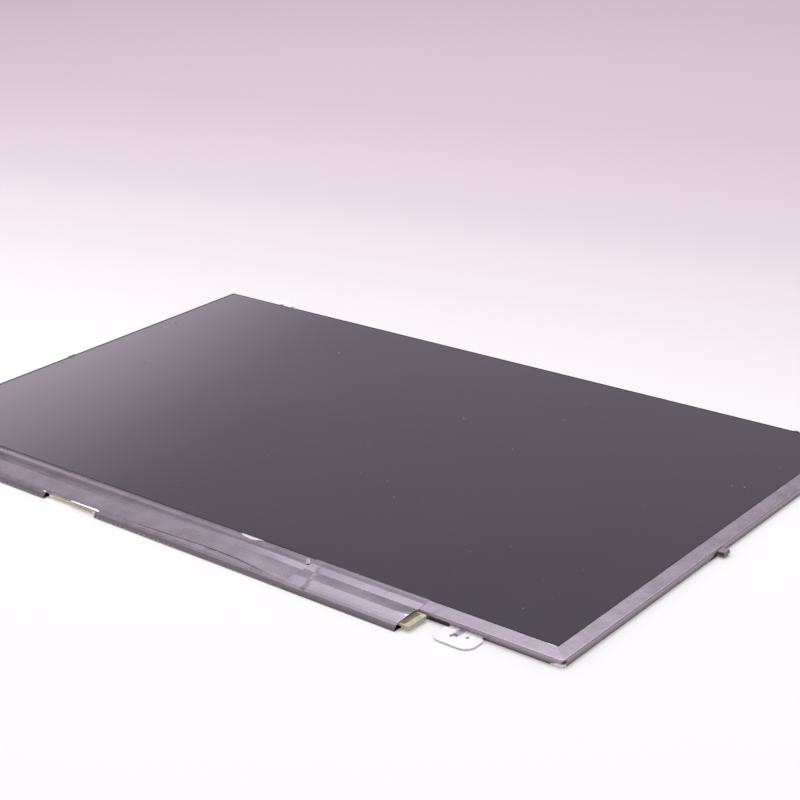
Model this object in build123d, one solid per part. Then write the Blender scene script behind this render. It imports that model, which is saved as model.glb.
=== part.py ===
"""Slim laptop screen panel lying face up: a liquid-crystal cell on an edge-lit backlight,
a driver board along its lower edge, edge tapes, corner brackets and side tabs.
X runs to the right of the picture, Y to its top, Z up out of the screen. Millimetres."""

import os

from build123d import *

# Screen and outline
active_width = 344.23
active_height = 193.54
screen_margin_side = 1.13
screen_margin_low = 1.9
ledge_band = 6.5
border_top = 7.46

# Layers, from the rear tape up
tape_thickness = 0.1
plate_thickness = 0.3
reflector_thickness = 0.2
guide_thickness = 0.7
diffuser_thickness = 0.1
prism_thickness = 0.15
cell_tape_thickness = 0.1
polarizer_thickness = 0.2
glass_thickness = 0.5

# Cell
polarizer_inset = 0.15
source_ledge = 2.9
gate_ledge = 5.2
cell_corner_cut = 1.2
cell_tape_overlap = 1.0

# Moulded frame and optical sheets
sheet_margin = 2.5
sheet_clearance = 0.3
sheet_ear_width = 6.0
sheet_ear_reach = 1.5
sheet_ear_spacing = 110.0
plate_border = 0.6
plate_clearance = 0.1
frame_rib_width = 0.9
frame_corner_radius = 0.8

# Light strip
lamp_count = 44
lamp_length = 3.0
lamp_depth = 0.85
lamp_height = 0.55
lamp_window_depth = 0.2
lamp_window_rim = 0.12
lamp_gap = 0.05
strip_thickness = 0.12
strip_end_margin = 1.0
rail_thickness = 0.2
rail_width = 2.0
rail_end_gap = 3.0
strip_tail_inset = 37.25
strip_tail_width = 9.0
strip_tail_grip = 1.8
strip_tail_clearance = 0.1

# Driver board
board_gap = 0.7
board_width = 10.1
board_right_margin = 56.5
board_left_margin = 53.0
board_thickness = 0.8
board_corner_radius = 0.8
board_bare_end = 4.5
spacer_margin = 0.5

# Driver films and chips
film_count = 4
film_width = 36.0
film_end_margin = 15.5
film_thickness = 0.08
film_bond = 1.2
film_board_lap = 2.0
film_flat = 0.2
film_bend_radius = 0.3
source_chip_length = 14.0
source_chip_width = 1.1
source_chip_thickness = 0.3
gate_chip_count = 3
gate_chip_spacing = 62.0
gate_chip_length = 16.0
gate_chip_width = 1.3
gate_chip_thickness = 0.2
gate_chip_inset = 1.2
glue_gap = 0.02

# Input connector
connector_inset = 74.75
connector_length = 28.0
connector_depth = 4.8
connector_height = 1.1
connector_overhang = 0.5
connector_wall = 0.22
connector_end_wall = 2.0
shell_thickness = 0.12
shell_corner_radius = 0.35
shell_lug_reach = 1.2
contact_count = 40
contact_pitch = 0.5
contact_width = 0.22
contact_thickness = 0.14
contact_tail = 0.9

# Small parts on the underside of the board
part_clearance = 0.1
timing_chip_size = 7.0
timing_chip_height = 0.9
power_chip_size = 4.0
power_chip_height = 0.8
chip_bevel = 0.2
memory_chip_length = 5.0
memory_chip_width = 3.9
memory_chip_height = 0.9
memory_lead_count = 4
memory_lead_pitch = 1.27
memory_lead_width = 0.4
memory_lead_reach = 0.9
memory_lead_thickness = 0.2
inductor_size = 4.4
inductor_height = 1.0
inductor_bevel = 0.9
capacitor_count = 24
capacitor_pitch = 8.6
capacitor_length = 1.6
capacitor_width = 0.8
capacitor_height = 0.8
resistor_count = 20
resistor_pitch = 10.4
resistor_length = 1.0
resistor_width = 0.5
resistor_height = 0.35
small_part_edge = 0.5
backlight_socket_length = 11.0
backlight_socket_depth = 3.2
backlight_socket_height = 1.0
backlight_socket_edge = 0.8

# Tapes
band_inner_drop = 0.1
band_outer_drop = 0.55
band_corner_radius = 0.6
lip_corner_radius = 0.2
rear_lip = 4.0
edge_tape_drop = 0.1
tape_window_clearance = 0.2
ledge_tape_ramp = 0.7
ledge_tape_lap = 0.8
tape_slack = 0.03
cover_inner_reach = 4.7
cover_end_reach = 58.0
cover_edge_dip = 1.7
cover_dip_place = 22.0
cover_edge_margin = 0.2
tape_bend_radius = 1.5
wrap_lap_gap = 0.4
wrap_shoulder_margin = 0.15
wrap_shoulder_radius = 0.5
wrap_rear_lip = 4.5
wrap_gap = 1.5
skirt_spread = 2.7
skirt_foot = 0.4
skirt_lean = 1.0
skirt_drop = 0.45
skirt_fold_radius = 0.8
end_tape_crown = 0.22

# Brackets and side tabs
bracket_thickness = 0.4
bracket_root = 2.8
bracket_neck_width = 14.0
bracket_head_width = 17.0
bracket_reach = 10.0
bracket_corner_radius = 4.2
bracket_shoulder_gap = 1.0
bracket_shoulder_radius = 1.2
bracket_top_inset = 28.25
bracket_low_inset = 40.0
screw_hole_diameter = 3.0
screw_hole_offset = 1.9
screw_hole_reach = 4.9
pilot_hole_diameter = 1.4
pilot_hole_offset = 2.8
pilot_hole_reach = 3.2
stake_diameter = 1.4
stake_clearance = 0.1
tab_width = 3.6
tab_reach = 3.3
tab_root = 3.0
tab_height = 1.9
tab_gap = 0.2
tab_bend_radius = 0.55
tab_y = -3.3

# Outline worked out from the sizes above
x_right = active_width / 2 + screen_margin_side + ledge_band
x_left = -x_right
screen_right = x_right - ledge_band
body_height = ledge_band + screen_margin_low + active_height + border_top
board_reach = board_gap + board_width + skirt_spread
y_foot = -(board_reach + body_height + bracket_reach) / 2
y_low = y_foot + board_reach
y_top = y_low + body_height
screen_low = y_low + ledge_band
active_low = screen_low + screen_margin_low
active_mid = active_low + active_height / 2
shell_left = x_left + tape_thickness
shell_right = x_right - tape_thickness
shell_low = y_low + tape_thickness
shell_top = y_top - tape_thickness
bracket_top_x = x_right - bracket_top_inset
bracket_low_x = x_right - bracket_low_inset

# Levels of the layers
plate_z = tape_thickness
plate_top = plate_z + plate_thickness
guide_z = plate_top + reflector_thickness
lower_diffuser_z = guide_z + guide_thickness
lower_prism_z = lower_diffuser_z + diffuser_thickness
upper_prism_z = lower_prism_z + prism_thickness
upper_diffuser_z = upper_prism_z + prism_thickness
sheet_top = upper_diffuser_z + diffuser_thickness
rear_polarizer_z = sheet_top + cell_tape_thickness
array_z = rear_polarizer_z + polarizer_thickness
filter_z = array_z + glass_thickness
front_polarizer_z = filter_z + glass_thickness
screen_z = front_polarizer_z + polarizer_thickness

# Plan of the cell, the sheets and the light strip
array_right = screen_right + gate_ledge
array_low = screen_low - source_ledge
sheet_half = active_width / 2 + sheet_margin
sheet_low = active_low - sheet_margin
sheet_high = active_low + active_height + sheet_margin
opening_half = sheet_half + sheet_clearance
opening_low = sheet_low - sheet_clearance
opening_high = sheet_high + sheet_clearance
guide_low = sheet_low
lamp_high = guide_low - lamp_gap
rail_high = lamp_high
rail_low = rail_high - rail_width
cavity_low = rail_low - plate_clearance
rail_half = sheet_half - rail_end_gap
strip_half = rail_half - strip_end_margin
strip_z = plate_top + rail_thickness
lamp_z = strip_z + strip_thickness
cavity_top = lamp_z + lamp_height + plate_clearance
tail_slot_half = strip_tail_width / 2 + strip_tail_clearance

# Plan and levels of the board, its connector and its tapes
board_right = x_right - board_right_margin
board_left = x_left + board_left_margin
board_center_x = (board_left + board_right) / 2
strip_tail_x = board_right - strip_tail_inset
connector_x = board_left + connector_inset
board_inner = y_low - board_gap
board_outer = board_inner - board_width
board_mid = (board_inner + board_outer) / 2
board_z = tape_thickness + connector_height + part_clearance
board_top = board_z + board_thickness
connector_mouth = board_outer - connector_overhang
connector_back = connector_mouth + connector_depth
connector_z = board_z - connector_height
connector_half = connector_length / 2
socket_high = board_inner - backlight_socket_edge
wrap_top = board_top + tape_thickness
film_top = filter_z + film_thickness
lap_top = board_top + film_thickness
taped_right = board_right - board_bare_end
taped_left = board_left + board_bare_end
cover_right = board_right - cover_end_reach
window_low = plate_top - tape_window_clearance
window_high = plate_top + bracket_thickness + tape_window_clearance
film_span = taped_right - taped_left - 2 * film_end_margin
film_pitch = (film_span - film_width) / (film_count - 1)
film_line = [
    (board_inner - film_board_lap, board_top),
    (board_inner + film_flat, board_top),
    (array_low - film_flat, filter_z),
    (array_low + film_bond, filter_z),
]
rib_top = min(array_z, screen_z - band_outer_drop - band_corner_radius)
chip_y = (shell_low + frame_rib_width + array_low) / 2


def slab(left, right, low, high, bottom, top):
    """Flat sheet between two corners."""
    outline = Pos((left + right) / 2, (low + high) / 2, bottom) * Rectangle(right - left, high - low)
    return extrude(outline, top - bottom)


def ribbon(points, radii, thickness):
    """Thin bent section, with its thickness on the left of the line's travel."""
    path = FilletPolyline(*points, radius=radii)
    return make_face(offset(path, thickness, side=Side.LEFT))


def along_x(section, start, end):
    """Section drawn in Y and Z, drawn out along X."""
    return extrude(Plane.YZ.offset(start) * section, end - start)


def along_y(section, start, end):
    """Section drawn in X and Z, drawn out along Y."""
    return extrude(Plane.XZ.offset(-end) * section, end - start)


def spread(count, spacing):
    """Evenly spaced places about zero."""
    return [(index - (count - 1) / 2) * spacing for index in range(count)]


def group(solids):
    """Separate like pieces kept together."""
    return Compound(children=list(solids))


def mirrored(solid):
    """The same piece for the other side of the panel."""
    return mirror(solid, Plane.YZ)


def film_level(y):
    """Height of the sloping part of the driver films, on their lower face."""
    (low_y, low_z), (high_y, high_z) = film_line[1:3]
    return low_z + (high_z - low_z) * (y - low_y) / (high_y - low_y)


def film_place(level):
    """Where the line of that slope comes to a level."""
    (low_y, low_z), (high_y, high_z) = film_line[1:3]
    return low_y + (high_y - low_y) * (level - low_z) / (high_z - low_z)


# Cell: two sheets of glass between polarizing films, on a black adhesive ring
def front_polarizer():
    return slab(
        shell_left + polarizer_inset,
        screen_right - polarizer_inset,
        screen_low + polarizer_inset,
        shell_top - polarizer_inset,
        front_polarizer_z,
        screen_z,
    )


def colour_filter_glass():
    return slab(shell_left, screen_right, screen_low, shell_top, filter_z, front_polarizer_z)


def array_glass():
    glass = slab(shell_left, array_right, array_low, shell_top, array_z, filter_z)
    corner = glass.edges().filter_by(Axis.Z).sort_by(lambda edge: edge.center().Y - edge.center().X)[0]
    return chamfer(corner, cell_corner_cut)


def rear_film_outline():
    return (
        shell_left + polarizer_inset,
        array_right - cell_corner_cut,
        array_low + cell_corner_cut,
        shell_top - polarizer_inset,
    )


def rear_polarizer():
    return slab(*rear_film_outline(), rear_polarizer_z, array_z)


def cell_tape():
    ring = slab(*rear_film_outline(), sheet_top, rear_polarizer_z)
    half = sheet_half - cell_tape_overlap
    low = sheet_low + cell_tape_overlap
    high = sheet_high - cell_tape_overlap
    return ring - slab(-half, half, low, high, sheet_top, rear_polarizer_z)


# Brackets and side tabs: thin plates staked to the frame above the rear plate.
# A plan is drawn with the frame's outer face along its X axis and the reach along +Y.
def bracket_root_plan(width, root, clearance):
    """Rectangle let into the frame, from its outer face inwards."""
    return Pos(0, -(root + clearance) / 2) * Rectangle(width + 2 * clearance, root + clearance)


def stake_plan(diameter):
    return Pos(0, -bracket_root / 2) * Circle(diameter / 2)


def bracket_plan(outward):
    """Neck and rounded head, with the screw hole on the panel's inner side."""
    tip = bracket_reach + tape_thickness
    shoulder = bracket_shoulder_gap + tape_thickness
    middle = (shoulder + tip) / 2
    neck = Pos(0, (middle - bracket_root) / 2) * Rectangle(bracket_neck_width, middle + bracket_root)
    head = Pos(0, middle) * Rectangle(bracket_head_width, tip - shoulder)
    head = fillet(head.vertices().group_by(Axis.Y)[-1], bracket_corner_radius)
    head = fillet(head.vertices().group_by(Axis.Y)[0], bracket_shoulder_radius)
    screw = Pos(-outward * screw_hole_offset, screw_hole_reach) * Circle(screw_hole_diameter / 2)
    pilot = Pos(outward * pilot_hole_offset, pilot_hole_reach) * Circle(pilot_hole_diameter / 2)
    stake_hole = stake_plan(stake_diameter + 2 * stake_clearance)
    return neck + head - screw - pilot - stake_hole


top_place = Pos(bracket_top_x, shell_top, plate_top)
low_place = Pos(bracket_low_x, shell_low, plate_top) * Rot(0, 0, 180)
tab_place = Pos(shell_right, tab_y, plate_top) * Rot(0, 0, -90)


def bracket_top_right():
    return extrude(top_place * bracket_plan(1), bracket_thickness)


def bracket_bottom_right():
    return extrude(low_place * bracket_plan(-1), bracket_thickness)


def side_tab_right():
    """Tongue let into the frame, folded up outside the tape and back towards it."""
    line = [
        (shell_right - tab_root, plate_top),
        (x_right + tab_reach, plate_top),
        (x_right + tab_reach, plate_top + tab_height),
        (x_right + tab_gap, plate_top + tab_height),
    ]
    section = ribbon(line, tab_bend_radius, bracket_thickness)
    return along_y(section, tab_y - tab_width / 2, tab_y + tab_width / 2)


# Backlight
def sheet_ears(grow):
    """Locating ears on the side edges of the sheets, or with some growth the pockets for them."""
    ear = Rectangle(2 * (sheet_ear_reach + grow), sheet_ear_width + 2 * grow)
    heights = [active_mid + y for y in spread(2, sheet_ear_spacing)]
    return Sketch() + [Pos(x, y) * ear for x in (-sheet_half, sheet_half) for y in heights]


def sheet(bottom, thickness):
    """Optical sheet with its locating ears."""
    outline = Pos(0, (sheet_low + sheet_high) / 2) * Rectangle(2 * sheet_half, sheet_high - sheet_low)
    return extrude(Pos(0, 0, bottom) * (outline + sheet_ears(0)), thickness)


def frame_ribs():
    """Low ribs outside the glass ledges, on the right and lower rails."""
    right = slab(
        shell_right - frame_rib_width,
        shell_right,
        shell_low + frame_corner_radius,
        shell_top - frame_corner_radius,
        sheet_top,
        rib_top,
    )
    lower = slab(
        shell_left + frame_corner_radius,
        shell_right - frame_corner_radius,
        shell_low,
        shell_low + frame_rib_width,
        sheet_top,
        min(rib_top, film_level(shell_low) - tape_slack),
    )
    return right + lower


def moulded_frame():
    width = shell_right - shell_left
    height = shell_top - shell_low
    center = Pos((shell_left + shell_right) / 2, (shell_low + shell_top) / 2, plate_z)
    outline = center * RectangleRounded(width, height, frame_corner_radius)
    frame = extrude(outline, sheet_top - plate_z)
    frame = chamfer(frame.faces().sort_by(Axis.Z)[0].edges(), lip_corner_radius - tape_thickness)
    rebate = center * Rectangle(width - 2 * plate_border, height - 2 * plate_border)
    frame -= extrude(rebate, plate_thickness)
    frame -= slab(-opening_half, opening_half, opening_low, opening_high, plate_top, sheet_top)
    frame -= slab(-opening_half, opening_half, cavity_low, opening_low, plate_top, cavity_top)
    frame -= extrude(Pos(0, 0, plate_top) * sheet_ears(sheet_clearance), sheet_top - plate_top)
    frame += frame_ribs()
    frame -= slab(
        strip_tail_x - tail_slot_half,
        strip_tail_x + tail_slot_half,
        shell_low,
        cavity_low,
        strip_z - strip_tail_clearance,
        lamp_z + strip_tail_clearance,
    )
    bracket_pocket = bracket_root_plan(bracket_neck_width, bracket_root, stake_clearance)
    for place in (top_place, low_place):
        pocket = extrude(place * bracket_pocket, bracket_thickness)
        stakes = extrude(place * stake_plan(stake_diameter), bracket_thickness)
        frame = frame - pocket - mirrored(pocket) + stakes + mirrored(stakes)
    pocket = extrude(tab_place * bracket_root_plan(tab_width, tab_root, stake_clearance), bracket_thickness)
    return frame - pocket - mirrored(pocket)


def upper_diffuser():
    return sheet(upper_diffuser_z, diffuser_thickness)


def upper_prism_film():
    return sheet(upper_prism_z, prism_thickness)


def lower_prism_film():
    return sheet(lower_prism_z, prism_thickness)


def lower_diffuser():
    return sheet(lower_diffuser_z, diffuser_thickness)


def light_guide():
    return sheet(guide_z, guide_thickness)


def reflector_sheet():
    return sheet(plate_top, reflector_thickness)


def rear_plate():
    inset = plate_border + plate_clearance
    plate = slab(
        shell_left + inset, shell_right - inset, shell_low + inset, shell_top - inset, plate_z, plate_top
    )
    return fillet(plate.edges().filter_by(Axis.Z), frame_corner_radius)


def light_rail():
    base = slab(-rail_half, rail_half, rail_low, rail_high, plate_top, strip_z)
    wall_top = lamp_z + lamp_height
    wall = slab(-rail_half, rail_half, rail_low, rail_low + rail_thickness, strip_z, wall_top)
    notch = slab(
        strip_tail_x - tail_slot_half,
        strip_tail_x + tail_slot_half,
        rail_low,
        rail_low + rail_thickness,
        strip_z,
        wall_top,
    )
    return base + wall - notch


def light_strip():
    low = rail_low + rail_thickness
    strip = slab(-strip_half, strip_half, low, rail_high, strip_z, lamp_z)
    tail = slab(
        strip_tail_x - strip_tail_width / 2,
        strip_tail_x + strip_tail_width / 2,
        socket_high - strip_tail_grip,
        low,
        strip_z,
        lamp_z,
    )
    return strip + tail


def lamps():
    pitch = (2 * strip_half - lamp_length) / (lamp_count - 1)
    half = lamp_length / 2
    rim = lamp_window_rim
    body = slab(-half, half, lamp_high - lamp_depth, lamp_high, lamp_z, lamp_z + lamp_height)
    window = slab(
        rim - half,
        half - rim,
        lamp_high - lamp_window_depth,
        lamp_high,
        lamp_z + rim,
        lamp_z + lamp_height - rim,
    )
    return group(Pos(x) * (body - window) for x in spread(lamp_count, pitch))


# Driver board, the films that join it to the glass, and the chips on the glass and films
def driver_board():
    board = slab(board_left, board_right, board_outer, board_inner, board_z, board_top)
    return fillet(board.edges().filter_by(Axis.Z), board_corner_radius)


def board_spacers():
    """Foam pads under the two bare ends of the board."""
    ends = [(board_left, taped_left), (taped_right, board_right)]
    return group(
        slab(
            left + spacer_margin,
            right - spacer_margin,
            board_outer + spacer_margin,
            board_inner - spacer_margin,
            tape_thickness,
            board_z,
        )
        for left, right in ends
    )


def source_films():
    film = along_x(ribbon(film_line, film_bend_radius, film_thickness), -film_width / 2, film_width / 2)
    return group(Pos(board_center_x + x) * film for x in spread(film_count, film_pitch))


def source_chips():
    middle = Vector(0, chip_y, film_level(chip_y))
    slope = Vector(0, array_low, film_level(array_low)) - middle
    under = Plane(origin=middle, x_dir=(1, 0, 0), z_dir=slope.cross(Vector(1, 0, 0)))
    outline = Pos(0, 0, glue_gap) * Rectangle(source_chip_length, source_chip_width)
    chip = extrude(under * outline, source_chip_thickness)
    return group(Pos(board_center_x + x) * chip for x in spread(film_count, film_pitch))


def gate_chips():
    left = screen_right + gate_chip_inset
    half = gate_chip_length / 2
    chip = slab(left, left + gate_chip_width, -half, half, filter_z, filter_z + gate_chip_thickness)
    return group(Pos(0, active_mid + y) * chip for y in spread(gate_chip_count, gate_chip_spacing))


# Input connector at the board's outer edge, mouth outwards
def input_housing():
    half = connector_half - shell_thickness
    slot_half = connector_half - connector_end_wall
    bottom = connector_z + shell_thickness
    body = slab(-half, half, connector_mouth, connector_back, bottom, board_z)
    slot = slab(
        -slot_half,
        slot_half,
        connector_mouth,
        connector_back,
        bottom + connector_wall,
        board_z - connector_wall,
    )
    body = chamfer(body.edges().filter_by(Axis.Y).group_by(Axis.Z)[0], shell_corner_radius)
    return Pos(connector_x) * (body - slot)


def input_shell():
    half = connector_half
    line = [(-half, board_z), (-half, connector_z), (half, connector_z), (half, board_z)]
    shell = along_y(ribbon(line, shell_corner_radius, shell_thickness), connector_mouth, connector_back)
    lug = slab(
        half - shell_thickness,
        half + shell_lug_reach,
        board_outer,
        connector_back - connector_overhang,
        board_z - shell_thickness,
        board_z,
    )
    lug = fillet(lug.edges().filter_by(Axis.Z).group_by(Axis.X)[-1], shell_lug_reach / 2)
    return Pos(connector_x) * (shell + lug + mirrored(lug))


def input_contacts():
    top = board_z - connector_wall
    half = contact_width / 2
    contact = slab(-half, half, board_outer, connector_back + contact_tail, top - contact_thickness, top)
    return group(Pos(connector_x + x) * contact for x in spread(contact_count, contact_pitch))


# Small parts on the underside of the board
def under_board(x, y, length, width, height):
    """Block soldered to the underside of the board."""
    return slab(x - length / 2, x + length / 2, y - width / 2, y + width / 2, board_z - height, board_z)


def bevelled(block):
    """Moulded chip body with a bevelled face."""
    return chamfer(block.faces().sort_by(Axis.Z)[0].edges(), chip_bevel)


chip_lengths = {
    "inductor": inductor_size,
    "power": power_chip_size,
    "timing": timing_chip_size,
    "memory": memory_chip_length,
}
chip_order = ["inductor", "power", "timing", "memory", "power", "inductor", "power"]


def chip_row():
    """Kind and place of each larger part, spread evenly between the connector and the socket."""
    start = connector_x + connector_half + shell_lug_reach
    end = strip_tail_x - backlight_socket_length / 2
    lengths = [chip_lengths[kind] for kind in chip_order]
    gap = (end - start - sum(lengths)) / (len(lengths) + 1)
    places = [start + gap * (index + 1) + sum(lengths[:index]) for index in range(len(lengths))]
    return [(kind, place + length / 2) for kind, place, length in zip(chip_order, places, lengths)]


def places_of(kind):
    return [x for each_kind, x in chip_row() if each_kind == kind]


def timing_chip():
    size = (timing_chip_size, timing_chip_size, timing_chip_height)
    return bevelled(under_board(places_of("timing")[0], board_mid, *size))


def power_chips():
    size = (power_chip_size, power_chip_size, power_chip_height)
    return group(bevelled(under_board(x, board_mid, *size)) for x in places_of("power"))


def memory_chip():
    middle = places_of("memory")[0]
    size = (memory_chip_length, memory_chip_width, memory_chip_height)
    lead_size = (memory_lead_width, memory_chip_width + 2 * memory_lead_reach, memory_lead_thickness)
    chip = bevelled(under_board(middle, board_mid, *size))
    for x in spread(memory_lead_count, memory_lead_pitch):
        chip += under_board(middle + x, board_mid, *lead_size)
    return chip


def inductors():
    size = (inductor_size, inductor_size, inductor_height)
    blocks = [under_board(x, board_mid, *size) for x in places_of("inductor")]
    return group(chamfer(block.edges().filter_by(Axis.Z), inductor_bevel) for block in blocks)


large_parts = [
    (connector_x, connector_length + 2 * shell_lug_reach),
    (strip_tail_x, backlight_socket_length),
    *[(x, chip_lengths[kind]) for kind, x in chip_row()],
]


def small_parts(count, pitch, y, length, width, height):
    """Row of like parts along the board, left out beside the larger ones."""

    def is_free(x):
        gaps = [abs(x - part_x) - (length + part_length) / 2 for part_x, part_length in large_parts]
        return min(gaps) > part_clearance

    places = [board_center_x + x for x in spread(count, pitch)]
    return group(under_board(x, y, length, width, height) for x in places if is_free(x))


def capacitors():
    y = board_inner - small_part_edge - capacitor_width / 2
    size = (capacitor_length, capacitor_width, capacitor_height)
    return small_parts(capacitor_count, capacitor_pitch, y, *size)


def resistors():
    y = board_outer + small_part_edge + resistor_width / 2
    size = (resistor_length, resistor_width, resistor_height)
    return small_parts(resistor_count, resistor_pitch, y, *size)


def backlight_socket():
    body = under_board(
        strip_tail_x,
        socket_high - backlight_socket_depth / 2,
        backlight_socket_length,
        backlight_socket_depth,
        backlight_socket_height,
    )
    slot = slab(
        strip_tail_x - tail_slot_half,
        strip_tail_x + tail_slot_half,
        socket_high - strip_tail_grip - strip_tail_clearance,
        socket_high,
        strip_z,
        lamp_z + strip_tail_clearance,
    )
    return body - slot


# Edge tapes
band_line = [
    (ledge_band - rear_lip, 0),
    (ledge_band, 0),
    (ledge_band, screen_z - band_outer_drop),
    (tape_slack, screen_z - band_inner_drop),
]
band_radii = [lip_corner_radius, band_corner_radius]


def corner_wedge(far_x, far_y):
    """Half of the lower right corner, cut along its diagonal."""
    corner = [(screen_right, screen_low), (x_right, y_low), (far_x, far_y)]
    return extrude(make_face(Polyline(*corner, close=True)), screen_z)


def bracket_window(place, width):
    """Cut in a side tape where a bracket comes out."""
    outline = Pos(0, tape_thickness / 2) * Rectangle(width + 2 * tape_window_clearance, tape_thickness)
    return extrude(Pos(0, 0, window_low - plate_top) * place * outline, window_high - window_low)


def right_edge_tape():
    line = [(screen_right + reach, height) for reach, height in band_line]
    tape = along_y(ribbon(line, band_radii, tape_thickness), y_low, shell_top)
    return tape - corner_wedge(screen_right, y_low) - bracket_window(tab_place, tab_width)


def lower_section():
    line = [(screen_low - reach, height) for reach, height in band_line[::-1]]
    return ribbon(line, band_radii[::-1], tape_thickness)


def lower_tape_right():
    tape = along_x(lower_section(), taped_right, x_right)
    return tape - corner_wedge(x_right, screen_low) - bracket_window(low_place, bracket_neck_width)


def lower_tape_left():
    tape = along_x(lower_section(), shell_left, taped_left)
    end = slab(shell_left, x_left + rear_lip, y_low, screen_low, 0, plate_z)
    return tape - end - mirrored(bracket_window(low_place, bracket_neck_width))


def top_edge_tape():
    line = [(y_top - rear_lip, 0), (y_top, 0), (y_top, screen_z - edge_tape_drop)]
    section = ribbon(line, lip_corner_radius, tape_thickness)
    tape = along_x(section, x_left + rear_lip, x_right - rear_lip)
    tape += slab(x_left, x_left + rear_lip, shell_top, y_top, 0, screen_z - edge_tape_drop)
    tape += slab(x_right - rear_lip, x_right, shell_top, y_top, 0, array_z)
    window = bracket_window(top_place, bracket_neck_width)
    return tape - window - mirrored(window)


def left_edge_tape():
    line = [(x_left, screen_z - edge_tape_drop), (x_left, 0), (x_left + rear_lip, 0)]
    tape = along_y(ribbon(line, lip_corner_radius, tape_thickness), y_low, shell_top)
    tape -= slab(x_left, shell_left, y_low, screen_low, array_z, screen_z)
    return tape - mirrored(bracket_window(tab_place, tab_width))


# Board tapes
ledge_lift = film_thickness + tape_slack
cover_lift = ledge_lift + tape_thickness + tape_slack
cover_start = screen_low - cover_inner_reach


def ledge_tape():
    """Tape from the edge of the screen, over the bonded films and down to the inner edge of the cover."""
    foot = cover_start - ledge_tape_lap
    level = film_top + tape_slack
    line = [
        (foot, film_level(foot) + ledge_lift),
        (array_low - film_flat, level),
        (screen_low - ledge_tape_ramp, level),
        (screen_low - tape_slack, screen_z - band_inner_drop - tape_thickness),
    ]
    radii = [tape_bend_radius, lip_corner_radius]
    return along_x(ribbon(line, radii, tape_thickness), taped_left, cover_right)


skirt_line = [
    (y_foot + wrap_rear_lip, 0),
    (y_foot, 0),
    (y_foot, skirt_foot),
    (y_foot + skirt_lean, wrap_top - skirt_drop),
    (board_outer - wrap_shoulder_margin - tape_thickness, wrap_top),
]
skirt_radii = [lip_corner_radius, lip_corner_radius, skirt_fold_radius, wrap_shoulder_radius]


def board_wrap(start, end):
    """Tape folded round the board's outer edge, with a slack, slanting side and a rear lip."""
    line = [*skirt_line, (board_inner - film_board_lap - wrap_lap_gap, wrap_top)]
    return along_x(ribbon(line[::-1], skirt_radii[::-1], tape_thickness), start, end)


def board_wrap_right():
    return board_wrap(connector_x + connector_half + wrap_gap, cover_right)


def board_wrap_left():
    return board_wrap(taped_left, connector_x - connector_half - wrap_gap)


def board_cover_tape():
    level = max(wrap_top, lap_top) + tape_slack
    line = [
        (board_outer + cover_edge_margin, level),
        (film_place(level - cover_lift), level),
        (cover_start, film_level(cover_start) + cover_lift),
    ]
    tape = along_x(ribbon(line, tape_bend_radius, tape_thickness), taped_left, cover_right)
    edge_start = connector_x + connector_half
    wave = Spline(
        (edge_start, board_outer),
        (cover_right - cover_dip_place, board_outer + cover_edge_dip),
        (cover_right, board_outer),
        tangents=[(1, 0), (1, 0)],
    )
    edge = Line((cover_right, board_outer), (edge_start, board_outer))
    return tape - extrude(make_face(wave + edge), screen_z)


def board_end_tape():
    level = lap_top + tape_slack + tape_thickness
    crown = (board_mid, level + end_tape_crown)
    line = [
        *skirt_line,
        crown,
        (board_inner + film_flat, level),
        (array_low - film_flat, film_top + tape_slack + tape_thickness),
        (screen_low - ledge_tape_ramp, film_top + tape_slack + tape_thickness),
        (screen_low - tape_slack - tape_thickness, screen_z - band_inner_drop),
    ]
    radii = [*skirt_radii, tape_bend_radius, tape_bend_radius, tape_bend_radius, lip_corner_radius]
    return along_x(ribbon(line[::-1], radii[::-1], tape_thickness), cover_right, taped_right)


pieces = {
    "front_polarizer": front_polarizer(),
    "colour_filter_glass": colour_filter_glass(),
    "array_glass": array_glass(),
    "rear_polarizer": rear_polarizer(),
    "cell_tape": cell_tape(),
    "moulded_frame": moulded_frame(),
    "upper_diffuser": upper_diffuser(),
    "upper_prism_film": upper_prism_film(),
    "lower_prism_film": lower_prism_film(),
    "lower_diffuser": lower_diffuser(),
    "light_guide": light_guide(),
    "reflector_sheet": reflector_sheet(),
    "rear_plate": rear_plate(),
    "light_rail": light_rail(),
    "light_strip": light_strip(),
    "lamps": lamps(),
    "driver_board": driver_board(),
    "board_spacers": board_spacers(),
    "source_films": source_films(),
    "source_chips": source_chips(),
    "gate_chips": gate_chips(),
    "input_housing": input_housing(),
    "input_shell": input_shell(),
    "input_contacts": input_contacts(),
    "timing_chip": timing_chip(),
    "power_chips": power_chips(),
    "memory_chip": memory_chip(),
    "inductors": inductors(),
    "capacitors": capacitors(),
    "resistors": resistors(),
    "backlight_socket": backlight_socket(),
    "right_edge_tape": right_edge_tape(),
    "left_edge_tape": left_edge_tape(),
    "top_edge_tape": top_edge_tape(),
    "lower_tape_right": lower_tape_right(),
    "lower_tape_left": lower_tape_left(),
    "ledge_tape": ledge_tape(),
    "board_wrap_right": board_wrap_right(),
    "board_wrap_left": board_wrap_left(),
    "board_cover_tape": board_cover_tape(),
    "board_end_tape": board_end_tape(),
    "bracket_top_right": bracket_top_right(),
    "bracket_top_left": mirrored(bracket_top_right()),
    "bracket_bottom_right": bracket_bottom_right(),
    "bracket_bottom_left": mirrored(bracket_bottom_right()),
    "side_tab_right": side_tab_right(),
    "side_tab_left": mirrored(side_tab_right()),
}

os.makedirs("parts", exist_ok=True)
for name, piece in pieces.items():
    export_step(piece, f"parts/{name}.step")
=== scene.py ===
import math

import bmesh
import bpy
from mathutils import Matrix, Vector, noise


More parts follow.
